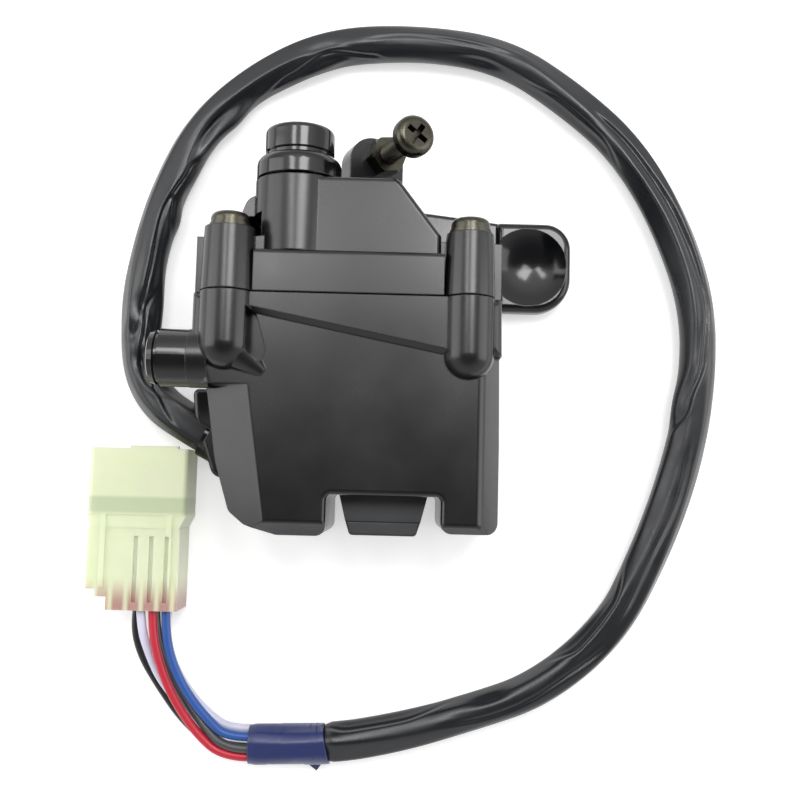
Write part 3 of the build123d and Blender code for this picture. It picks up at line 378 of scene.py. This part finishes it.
# %% Leads
LEAD_DIAMETER = 2.2
LEAD_END = -70.5  # inside the connector
TAPE_FACE = sleeve_route[-1][0]
lead_routes = {
    "wire_red": [(-47.4, LEAD_END, -11.4), (-47.4, -78.0, -11.4), (-45.6, -86.5, -12.0),
                 (-42.0, -95.6, -13.4), (-36.0, -104.2, -14.4), (-29.4, -109.7, -14.45),
                 (TAPE_FACE, -109.7, -14.45)],
    "wire_blue": [(-44.2, LEAD_END, -11.4), (-44.2, -78.0, -11.4), (-42.4, -86.6, -12.0),
                  (-38.4, -94.4, -12.8), (-32.6, -101.2, -13.4), (-28.4, -104.7, -13.75),
                  (TAPE_FACE, -104.7, -13.75)],
    "wire_grey": [(-47.9, LEAD_END, -17.0), (-47.9, -78.0, -17.0), (-45.4, -87.2, -16.8),
                  (-40.2, -95.6, -16.2), (-33.9, -103.0, -15.0), (-28.6, -107.4, -13.2),
                  (TAPE_FACE, -107.4, -13.2)],
    "wire_white": [(-50.6, LEAD_END, -11.4), (-50.2, -78.0, -11.4), (-48.4, -85.6, -14.6),
                   (-45.4, -93.0, -17.4), (-39.0, -99.8, -18.5), (-32.0, -105.7, -18.65),
                   (TAPE_FACE, -105.7, -18.65)],
    "wire_black": [(-52.1, LEAD_END, -17.0), (-53.2, -78.0, -17.0), (-51.4, -86.2, -18.4),
                   (-46.2, -94.6, -19.5), (-39.8, -102.8, -19.5), (-31.8, -108.5, -18.95),
                   (TAPE_FACE, -108.5, -18.95)],
    "wire_white_tracer": [(-44.4, LEAD_END, -17.0), (-45.4, -78.0, -17.0), (-43.5, -87.2, -17.0),
                          (-38.7, -95.0, -17.0), (-32.2, -101.2, -16.85), (-27.8, -103.4, -16.65),
                          (TAPE_FACE, -103.3, -16.65)],
}
leads = {}
lead_lines = {}
for name, route in lead_routes.items():
    curve = smooth_curve("lead_line", route)
    lead_lines[name] = line_of(curve)
    curve.data.bevel_depth = LEAD_DIAMETER / 2 * MM
    curve.data.bevel_resolution = 6
    curve.data.use_fill_caps = True
    coat = bpy.data.meshes.new_from_object(curve)
    coat.name = "lead" + name[4:]
    bpy.data.objects.remove(curve)
    for polygon in coat.polygons:
        polygon.use_smooth = len(polygon.vertices) == 4
    leads[name] = bpy.data.objects.new(coat.name, coat)
    bpy.context.scene.collection.objects.link(leads[name])
for name, line in lead_lines.items():
    print(name, "is", round(length_of(line) / MM, 1), "mm long")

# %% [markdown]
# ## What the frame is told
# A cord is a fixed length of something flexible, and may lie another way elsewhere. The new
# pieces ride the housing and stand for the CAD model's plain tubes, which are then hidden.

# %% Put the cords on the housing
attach(sleeve, "housing")
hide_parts("harness_sleeve")
for piece in (tape, tape_tail):
    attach(piece, "housing")
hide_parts("tape_wrap")
for name, lead in leads.items():
    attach(lead, "housing")
    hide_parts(name)
print("cords declared:", 1 + len(leads))

# %% [markdown]
# ## How a material is built
# Every finish here is a small network of nodes: a colour that varies a little, a roughness that
# varies with it, and a bump whose size is a real one in millimetres. One helper adds a node, sets
# its settings and joins its inputs, so that each material reads as a list of what it does. Patterns
# are read from the place on the object, in metres, so one over a pattern's size is its noise scale.
# Noise lies mostly between 0.3 and 0.7, and that range is what a Map Range node spreads out.

# %% Colour and node helpers
def colour(code):
    """An sRGB hex code such as #2b3566 as linear light."""
    channels = [int(code[i:i + 2], 16) / 255 for i in (1, 3, 5)]
    return (*(c / 12.92 if c <= 0.04045 else ((c + 0.055) / 1.055) ** 2.4 for c in channels), 1)


def node(tree, kind, inputs=None, **settings):
    """Add a node, set its settings, and link or set its inputs by name."""
    added = tree.nodes.new("ShaderNode" + kind)
    for key, value in settings.items():
        setattr(added, key, value)
    for key, value in (inputs or {}).items():
        if isinstance(value, bpy.types.NodeSocket):
            tree.links.new(value, added.inputs[key])
        else:
            added.inputs[key].default_value = value
    return added


def new_material(name):
    """An empty material, its node tree and the place on the object that a pattern is read from."""
    material = bpy.data.materials.new(name)
    material.use_nodes = True
    tree = material.node_tree
    tree.nodes.clear()
    place = node(tree, "TexCoord").outputs["Object"]
    return material, tree, place


def per_metre(size_in_mm):
    """A noise texture's scale for a pattern of a size in millimetres."""
    return 1 / (size_in_mm * MM)


print("mid grey in linear light:", round(colour("#808080")[0], 3), "- 2 mm as a scale:", per_metre(2))

# %% [markdown]
# ## Paint on cast aluminium
# The two halves are die-cast aluminium with baked black enamel, satin on the housing and glossy on
# the lever. Satin gives broad soft highlights. Gloss gives sharp ones, which a slow ripple bends.
# The satin's orange peel is 1.8 mm across, coarser than the real one so that it shows. The paint
# thins on sharp edges, which are a little lighter. The Bevel node finds them: where its rounded
# normal leaves the true one, there is an edge. Its rounding is 0.35 mm, as a cast edge's is.

# %% Baked enamel
RUBBED_METAL = "#6a6a6c"
HANDLING_MM, SPECK_MM = 14, 0.6  # patches that hands leave, and the specks of worn paint


def baked_enamel(name, shade, dusty_shade, roughness, peel_mm, peel_depth_mm, edge_mm):
    """Baked enamel over a casting, lighter and rougher where it thins at the edges."""
    material, tree, place = new_material(name)
    soft_edge = node(tree, "Bevel", samples=6, inputs={"Radius": edge_mm * MM})
    flat = node(tree, "NewGeometry")
    facing = node(tree, "VectorMath", operation="DOT_PRODUCT", inputs={
        0: soft_edge.outputs["Normal"], 1: flat.outputs["Normal"]})
    # The two normals' product is 1 on a flat face, and at an edge it falls.
    edge = node(tree, "MapRange", inputs={
        "Value": facing.outputs["Value"], "From Min": 0.995, "From Max": 0.90,
        "To Min": 0.0, "To Max": 1.0})
    patches = node(tree, "TexNoise", inputs={
        "Vector": place, "Scale": per_metre(HANDLING_MM), "Detail": 4.0})
    peel = node(tree, "TexNoise", inputs={
        "Vector": place, "Scale": per_metre(peel_mm), "Detail": 2.0})
    specks = node(tree, "TexNoise", inputs={
        "Vector": place, "Scale": per_metre(SPECK_MM), "Detail": 3.0})
    dusty = node(tree, "Mix", data_type="RGBA", inputs={
        "Factor": patches.outputs["Fac"], "A": colour(shade), "B": colour(dusty_shade)})
    rubbed = node(tree, "MapRange", inputs={
        "Value": specks.outputs["Fac"], "From Min": 0.45, "From Max": 0.65,
        "To Min": 0.05, "To Max": 0.30})
    worn = node(tree, "Math", operation="MULTIPLY", inputs={
        0: edge.outputs["Result"], 1: rubbed.outputs["Result"]})
    painted = node(tree, "Mix", data_type="RGBA", inputs={
        "Factor": worn.outputs["Value"], "A": dusty.outputs["Result"], "B": colour(RUBBED_METAL)})
    gloss = node(tree, "MapRange", inputs={
        "Value": patches.outputs["Fac"], "From Min": 0.3, "From Max": 0.7,
        "To Min": roughness * 0.88, "To Max": roughness * 1.14})
    ripple = node(tree, "Bump", inputs={
        "Height": peel.outputs["Fac"], "Distance": peel_depth_mm * MM, "Strength": 1.0,
        "Normal": soft_edge.outputs["Normal"]})
    surface = node(tree, "BsdfPrincipled", inputs={
        "Base Color": painted.outputs["Result"], "Roughness": gloss.outputs["Result"],
        "IOR": 1.5, "Normal": ripple.outputs["Normal"]})
    node(tree, "OutputMaterial", inputs={"Surface": surface.outputs["BSDF"]})
    return material


satin_enamel = baked_enamel("satin_enamel", "#0f0f11", "#161618", 0.25, 1.8, 0.0015, 0.35)
gloss_enamel = baked_enamel("gloss_enamel", "#08090b", "#0f1013", 0.15, 3.0, 0.03, 0.3)
print("enamels:", satin_enamel.name, gloss_enamel.name)

# %% [markdown]
# ## Plated steel
# The screws and nuts are zinc-plated steel with an olive passivation, a thin film whose tint drifts
# from bronze to green. A metal's colour is its reflection, so metallic is 1 and the tint is the base
# colour. The springs are bare steel, and the bushes and contacts are bronze. Their drawn marks are
# about a quarter of a millimetre wide, coarser than real ones, and they soften the highlights.

# %% Metals
FILM_MM = 2.2  # how wide a stain of the passivation film is


def plated_metal(name, shade, other_shade, roughness, grain_mm):
    """A metal whose thin film varies in tint, with fine drawn marks."""
    material, tree, place = new_material(name)
    film = node(tree, "TexNoise", inputs={
        "Vector": place, "Scale": per_metre(FILM_MM), "Detail": 5.0, "Roughness": 0.6})
    grain = node(tree, "TexNoise", inputs={
        "Vector": place, "Scale": per_metre(grain_mm), "Detail": 3.0})
    tint = node(tree, "Mix", data_type="RGBA", inputs={
        "Factor": film.outputs["Fac"], "A": colour(shade), "B": colour(other_shade)})
    gloss = node(tree, "MapRange", inputs={
        "Value": grain.outputs["Fac"], "From Min": 0.3, "From Max": 0.7,
        "To Min": roughness * 0.75, "To Max": roughness * 1.3})
    marks = node(tree, "Bump", inputs={
        "Height": grain.outputs["Fac"], "Distance": 0.01 * MM, "Strength": 0.8})
    surface = node(tree, "BsdfPrincipled", inputs={
        "Base Color": tint.outputs["Result"], "Metallic": 1.0,
        "Roughness": gloss.outputs["Result"], "Normal": marks.outputs["Normal"]})
    node(tree, "OutputMaterial", inputs={"Surface": surface.outputs["BSDF"]})
    return material


olive_zinc = plated_metal("olive_zinc", "#55524a", "#38372f", 0.27, 0.25)
spring_steel = plated_metal("spring_steel", "#8c8a86", "#6a6966", 0.32, 0.2)
bronze = plated_metal("bronze", "#b08a52", "#8e6a3a", 0.35, 0.3)
print("metals:", olive_zinc.name, spring_steel.name, bronze.name)

# %% [markdown]
# ## Rubber, vinyl and moulded plastic
# These are all coloured right through, so they differ in colour, gloss and grain. They bend light
# alike, with an IOR near 1.52. The sleeve is glossy black PVC, slightly blue. The cap and boots are
# moulded rubber with an oily sheen and a slow unevenness. The button is spark-eroded ABS, matt, with
# a grain of about a third of a millimetre: the real grain is finer, and would not show. The tape is
# thin PVC that shows the bundle's bumps, and the leads' PVC is smooth.

# %% Soft and moulded finishes
def moulded(name, shade, other_shade, roughness, grain_mm, grain_depth_mm, patch_mm=9.0):
    """A coloured-through plastic or rubber with a grain and slow changes in gloss."""
    material, tree, place = new_material(name)
    patches = node(tree, "TexNoise", inputs={
        "Vector": place, "Scale": per_metre(patch_mm), "Detail": 4.0})
    grain = node(tree, "TexNoise", inputs={
        "Vector": place, "Scale": per_metre(grain_mm), "Detail": 1.0, "Roughness": 0.4})
    tint = node(tree, "Mix", data_type="RGBA", inputs={
        "Factor": patches.outputs["Fac"], "A": colour(shade), "B": colour(other_shade)})
    gloss = node(tree, "MapRange", inputs={
        "Value": patches.outputs["Fac"], "From Min": 0.3, "From Max": 0.7,
        "To Min": roughness * 0.8, "To Max": roughness * 1.25})
    texture = node(tree, "Bump", inputs={
        "Height": grain.outputs["Fac"], "Distance": grain_depth_mm * MM, "Strength": 1.0})
    surface = node(tree, "BsdfPrincipled", inputs={
        "Base Color": tint.outputs["Result"], "Roughness": gloss.outputs["Result"],
        "IOR": 1.52, "Normal": texture.outputs["Normal"]})
    node(tree, "OutputMaterial", inputs={"Surface": surface.outputs["BSDF"]})
    return material


sleeve_vinyl = moulded("sleeve_vinyl", "#1e2023", "#15161a", 0.30, 2.4, 0.012)
black_rubber = moulded("black_rubber", "#0b0b0d", "#131315", 0.13, 8.0, 0.12)
button_abs = moulded("button_abs", "#202123", "#28292b", 0.5, 0.33, 0.012)
white_nylon = moulded("white_nylon", "#d9d6c8", "#cfcbbb", 0.42, 0.5, 0.01)
tape_vinyl = moulded("tape_vinyl", "#2b3566", "#232c58", 0.34, 1.1, 0.03, 4.0)
print("plastics:", [finish.name for finish in (sleeve_vinyl, black_rubber, button_abs,
                                              white_nylon, tape_vinyl)])

# %% The leads' coats
lead_shades = {
    "wire_red": ("#c8283c", "#b51f31"),
    "wire_blue": ("#2a5aa8", "#234c92"),
    "wire_grey": ("#4a4a4a", "#3e3e3f"),
    "wire_white": ("#dcdcf0", "#cfcfe4"),
    "wire_black": ("#262627", "#1d1d1e"),
    "wire_white_tracer": ("#d8d8ea", "#cacadd"),
}
lead_vinyls = {name: moulded("vinyl" + name[4:], *shades, 0.34, 1.2, 0.01)
               for name, shades in lead_shades.items()}
print("lead coats:", len(lead_vinyls))

# %% [markdown]
# ## The connector's nylon
# Natural nylon 66 is milky and pale green-yellow. Light goes in, scatters and comes out a few
# millimetres away, so edges glow. Subsurface scattering does that: red and green light travel 3 mm
# and blue less. What lies inside shows through, and two such looks are painted into the colour as
# slow changes. One is painted shade, a darker band where the hood's floor stands. The other is a
# painted view of the terminals, pink round the cavities at the back end, where the leads go in.

# %% Nylon
HOOD_FLOOR_Y = -48.6
LEFT_CAVITY_X = -51.5
HALF_PITCH = 1.9  # half the distance from one cavity to the next
# Between these two places the painted pink view of the terminals grows from nothing to its strongest.
TERMINALS_SEEN_FROM_Y, TERMINALS_SEEN_TO_Y = -65.5, -73.5


def natural_nylon(name):
    """Milky nylon with a grey-green band of painted shade where the hood's floor stands, and the
    terminals painted in as pink towards the end with the leads.
    """
    material, tree, place = new_material(name)
    clouds = node(tree, "TexNoise", inputs={"Vector": place, "Scale": per_metre(6), "Detail": 3.0})
    grain = node(tree, "TexNoise", inputs={"Vector": place, "Scale": per_metre(0.8), "Detail": 2.0})
    milky = node(tree, "Mix", data_type="RGBA", inputs={
        "Factor": clouds.outputs["Fac"], "A": colour("#e4eacb"), "B": colour("#d9e1bd")})
    axes = node(tree, "SeparateXYZ", inputs={"Vector": place})

    # Painted shade: a darker grey-green band where the hood's floor stands behind the wall.
    past_floor = node(tree, "Math", operation="ADD", inputs={
        0: axes.outputs["Y"], 1: -HOOD_FLOOR_Y * MM})
    from_floor = node(tree, "Math", operation="ABSOLUTE", inputs={0: past_floor.outputs["Value"]})
    floor_shade = node(tree, "MapRange", interpolation_type="SMOOTHSTEP", inputs={
        "Value": from_floor.outputs["Value"], "From Min": 1.4 * MM, "From Max": 2.6 * MM,
        "To Min": 0.75, "To Max": 0.0})
    floor_shaded = node(tree, "Mix", data_type="RGBA", inputs={
        "Factor": floor_shade.outputs["Result"], "A": milky.outputs["Result"],
        "B": colour("#b9c4a4")})

    # A painted view of the terminals through the nylon: pink round each cavity, towards the end with
    # the leads.
    past_cavity = node(tree, "Math", operation="ADD", inputs={
        0: axes.outputs["X"], 1: -LEFT_CAVITY_X * MM})
    from_cavity = node(tree, "Math", operation="PINGPONG", inputs={
        0: past_cavity.outputs["Value"], 1: HALF_PITCH * MM})
    cavity = node(tree, "MapRange", interpolation_type="SMOOTHSTEP", inputs={
        "Value": from_cavity.outputs["Value"], "From Min": 0.9 * MM, "From Max": 1.8 * MM,
        "To Min": 1.0, "To Max": 0.25})
    near_leads = node(tree, "MapRange", interpolation_type="SMOOTHSTEP", inputs={
        "Value": axes.outputs["Y"], "From Min": TERMINALS_SEEN_FROM_Y * MM, "From Max": TERMINALS_SEEN_TO_Y * MM,
        "To Min": 0.0, "To Max": 0.9})
    terminals_seen = node(tree, "Math", operation="MULTIPLY", inputs={
        0: near_leads.outputs["Result"], 1: cavity.outputs["Result"]})
    with_terminals_seen = node(tree, "Mix", data_type="RGBA", inputs={
        "Factor": terminals_seen.outputs["Value"], "A": floor_shaded.outputs["Result"], "B": colour("#b07f7c")})

    ripple = node(tree, "Bump", inputs={"Height": grain.outputs["Fac"], "Distance": 0.01 * MM})
    surface = node(tree, "BsdfPrincipled", inputs={
        "Base Color": with_terminals_seen.outputs["Result"], "Roughness": 0.36, "IOR": 1.53,
        "Subsurface Weight": 0.9, "Subsurface Radius": (1.0, 1.0, 0.75),
        "Subsurface Scale": 3.0 * MM, "Normal": ripple.outputs["Normal"]})
    node(tree, "OutputMaterial", inputs={"Surface": surface.outputs["BSDF"]})
    return material


connector_nylon = natural_nylon("connector_nylon")
print("cavities are", 2 * HALF_PITCH, "mm apart")

# %% [markdown]
# ## Who wears what
# A CAD piece keeps its mesh and only gets a material. Whatever isn't in the list is a screw, washer,
# nut, shaft, drum or tube and gets the plated steel, or is a plain CAD cord, which is hidden.

# %% Dress the pieces
finish_of = {
    "throttle_housing": satin_enamel, "throttle_cover": satin_enamel,
    "switch_housing": satin_enamel, "switch_back_cover": satin_enamel,
    "throttle_lever": gloss_enamel, "pivot_cap": black_rubber,
    "inlet_boot": black_rubber, "harness_grommet": black_rubber, "cover_gasket": black_rubber,
    "drive_button": button_abs, "button_plunger": white_nylon, "switch_base": white_nylon,
    "return_spring": spring_steel, "button_spring": spring_steel, "pivot_bushes": bronze,
    "moving_contact": bronze, "fixed_contacts": bronze, "connector_terminals": bronze,
    "connector_housing": connector_nylon,
}
for name, piece in frame["nodes"].items():
    piece.data.materials.clear()
    piece.data.materials.append(finish_of.get(name, olive_zinc))
sleeve.data.materials.append(sleeve_vinyl)
for piece in (tape, tape_tail):
    piece.data.materials.append(tape_vinyl)
for name, lead in leads.items():
    lead.data.materials.append(lead_vinyls[name])
print("dressed nodes:", len(frame["nodes"]))

# %% [markdown]
# ## The bench
# The photograph is cut out on white, so the bench is white paper, which shows white to the camera
# and keeps a faint shadow. A let-go paddle swings below the bench's height, so the bench sinks with
# it. Two Transformation constraints do that, because the paddle falls faster at first than later.

# %% Bench paper
PAPER_GLOW = 0.45  # lifts the paper to white for the camera, in glass and in gloss

paper_material, tree, place = new_material("bench_paper")
rays = node(tree, "LightPath")
seen = node(tree, "Math", operation="MAXIMUM", inputs={
    0: rays.outputs["Is Camera Ray"], 1: rays.outputs["Is Glossy Ray"]})
seen_too = node(tree, "Math", operation="MAXIMUM", inputs={
    0: seen.outputs["Value"], 1: rays.outputs["Is Transmission Ray"]})
glow = node(tree, "Math", operation="MULTIPLY", inputs={
    0: seen_too.outputs["Value"], 1: PAPER_GLOW})
fibres = node(tree, "TexNoise", inputs={"Vector": place, "Scale": per_metre(1.5), "Detail": 3.0})
paper_bump = node(tree, "Bump", inputs={"Height": fibres.outputs["Fac"], "Distance": 0.02 * MM})
paper = node(tree, "BsdfPrincipled", inputs={
    "Base Color": colour("#e8e8e8"), "Roughness": 0.9, "Specular IOR Level": 0.1,
    "Normal": paper_bump.outputs["Normal"], "Emission Color": colour("#ffffff"),
    "Emission Strength": glow.outputs["Value"]})
node(tree, "OutputMaterial", inputs={"Surface": paper.outputs["BSDF"]})
print("paper:", paper_material.name)

# %% Bench
HALF_BENCH = 1.2
BENCH_GAP = 0.02  # in mm, under the part
PADDLE_FALLS = ((0, 16, 17.6), (16, 32, 13.9))  # from and to in degrees, and the fall in mm

bench_mesh = bpy.data.meshes.new("bench")
bench_mesh.from_pydata(
    [(x, y, (BENCH - BENCH_GAP) * MM) for x, y in (
        (-HALF_BENCH, -HALF_BENCH), (HALF_BENCH, -HALF_BENCH),
        (HALF_BENCH, HALF_BENCH), (-HALF_BENCH, HALF_BENCH))], [], [(0, 1, 2, 3)])
bench_mesh.materials.append(paper_material)
bench = bpy.data.objects.new("bench", bench_mesh)
bpy.context.scene.collection.objects.link(bench)
for low_turn, high_turn, fall in PADDLE_FALLS:
    sink = bench.constraints.new("TRANSFORM")
    sink.target = frame["bodies"]["lever"]
    sink.map_from, sink.map_to = "ROTATION", "LOCATION"
    sink.from_min_y_rot, sink.from_max_y_rot = math.radians(low_turn), math.radians(high_turn)
    sink.map_to_z_from = "Y"
    sink.to_min_z, sink.to_max_z = 0.0, -fall * MM
    sink.mix_mode = "ADD"
print("bench constraints:", len(bench.constraints))

# %% [markdown]
# ## The light
# The light is soft and white from all round. Black gloss shows what it mirrors more than its own
# colour, so what the room looks like in a mirror matters most. Overhead it is dark, as a camera and
# its stand are. Towards the top of the picture it has a pale wall, which the sloping faces catch,
# and lower down it is nearly white. Two lamps above the top of the picture draw the bright stripes
# down the bosses and the housing's face, and two boxes light the sides.

# %% Room
ROOM_LEVEL = 0.55  # what the room gives as light, where the camera and glass see it as 1
DARK_ABOVE, PALE_WALL, LOW_WALL = 0.14, 1.8, 0.9

world = bpy.data.worlds.new("white_room")
bpy.context.scene.world = world
world.use_nodes = True
tree = world.node_tree
tree.nodes.clear()
rays = node(tree, "LightPath")
seen = node(tree, "Math", operation="MAXIMUM", inputs={
    0: rays.outputs["Is Camera Ray"], 1: rays.outputs["Is Transmission Ray"]})
direct = node(tree, "MapRange", inputs={
    "Value": seen.outputs["Value"], "To Min": ROOM_LEVEL, "To Max": 1.0})
heading = node(tree, "TexCoord").outputs["Generated"]
axes = node(tree, "SeparateXYZ", inputs={"Vector": heading})
ceiling = node(tree, "MapRange", interpolation_type="SMOOTHSTEP", inputs={
    "Value": axes.outputs["Y"], "From Min": 0.08, "From Max": 0.30,
    "To Min": DARK_ABOVE, "To Max": PALE_WALL})
overhead = node(tree, "MapRange", interpolation_type="SMOOTHSTEP", inputs={
    "Value": axes.outputs["Z"], "From Min": 0.35, "From Max": 0.92, "To Min": 0.0, "To Max": 1.0})
mirrored = node(tree, "Mix", data_type="FLOAT", inputs={
    "Factor": overhead.outputs["Result"], "A": LOW_WALL, "B": ceiling.outputs["Result"]})
strength = node(tree, "Mix", data_type="FLOAT", inputs={
    "Factor": rays.outputs["Is Glossy Ray"], "A": direct.outputs["Result"],
    "B": mirrored.outputs["Result"]})
room = node(tree, "Background", inputs={
    "Color": colour("#ffffff"), "Strength": strength.outputs["Result"]})
node(tree, "OutputWorld", inputs={"Surface": room.outputs["Background"]})
print("room:", world.name)


# %% Lamps
def soft_box(name, place, width, height, watts):
    """A rectangular area lamp at a place in metres, facing the part."""
    lamp = bpy.data.lights.new(name, "AREA")
    lamp.shape = "RECTANGLE"
    lamp.size, lamp.size_y = width, height
    lamp.energy = watts
    box = bpy.data.objects.new(name, lamp)
    bpy.context.scene.collection.objects.link(box)
    box.location = place
    box.rotation_euler = (Vector((0, 0, 0)) - Vector(place)).to_track_quat("-Z", "Y").to_euler()


soft_box("strip_left", (-0.15, 0.21, 0.60), 0.10, 0.26, 0.70)
soft_box("strip_right", (0.15, 0.21, 0.60), 0.20, 0.26, 1.60)
soft_box("box_left", (-0.55, 0.05, 0.30), 0.4, 0.5, 1.6)
soft_box("box_right", (0.60, 0.0, 0.28), 0.4, 0.5, 1.4)
print("lamps:", len(bpy.data.lights))

# %% [markdown]
# Last, the scene is brought up to date and shown with the Standard view transform.

# %% Update and view transform
bpy.context.view_layer.update()
bpy.context.scene.view_settings.view_transform = "Standard"
